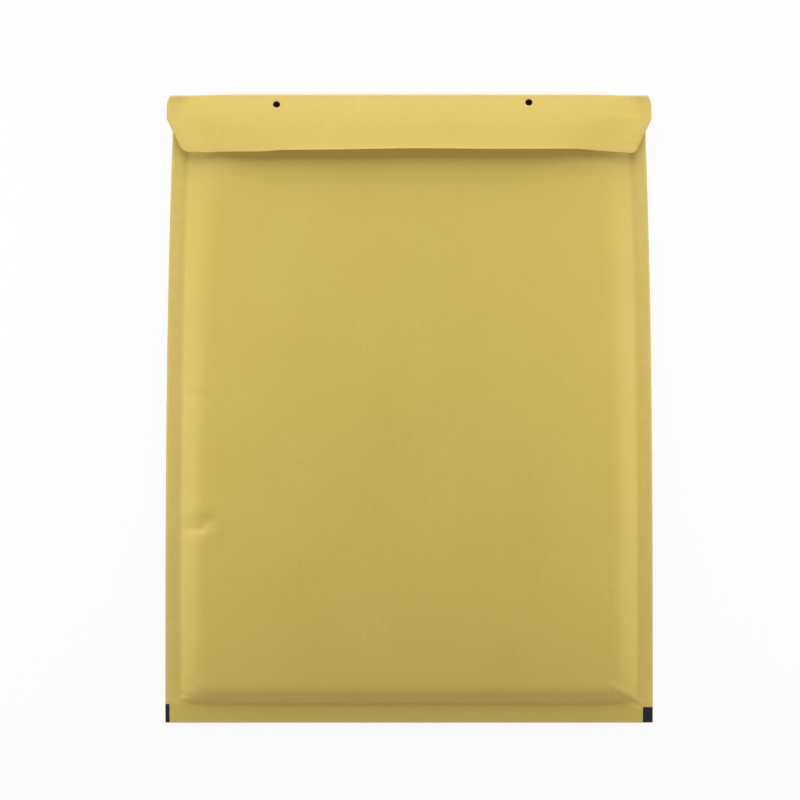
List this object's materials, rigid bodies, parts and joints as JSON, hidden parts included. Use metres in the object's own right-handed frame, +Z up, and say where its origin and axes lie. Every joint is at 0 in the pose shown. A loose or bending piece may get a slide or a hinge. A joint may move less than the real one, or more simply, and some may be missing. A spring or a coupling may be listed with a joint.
{
  "type": "padded envelope",
  "caption": "Flat padded mailing envelope of brown kraft paper with a bubble-film lining and a folded self-seal flap, empty and unused, lying on its back.",
  "frame": {"origin": "on the table, under the centre of the envelope's outside size", "axes": "+X across the envelope, to the right as seen from the front; +Y from the bottom fold to the flap's fold; +Z up from the table, out of the front that carries the flap"},
  "size_m": [0.29, 0.3734, 0.0228],
  "materials": {
    "kraft_paper": "smooth machine-finished kraft, matt with a faint sheen",
    "bubble_film": "clear polyethylene bubble film",
    "hot_melt": "pressure-sensitive hot melt, glossy and slightly yellow",
    "silicone_paper": "white silicone-coated release paper, satin",
    "ink": "flat dark blue-black printing ink"
  },
  "bodies": {
    "root": {"paper_cover": "kraft_paper", "bubble_lining": "bubble_film", "adhesive_band": "hot_melt", "release_strip": "silicone_paper", "print_mark_left": "ink", "print_mark_right": "ink"}
  },
  "joints": []
}
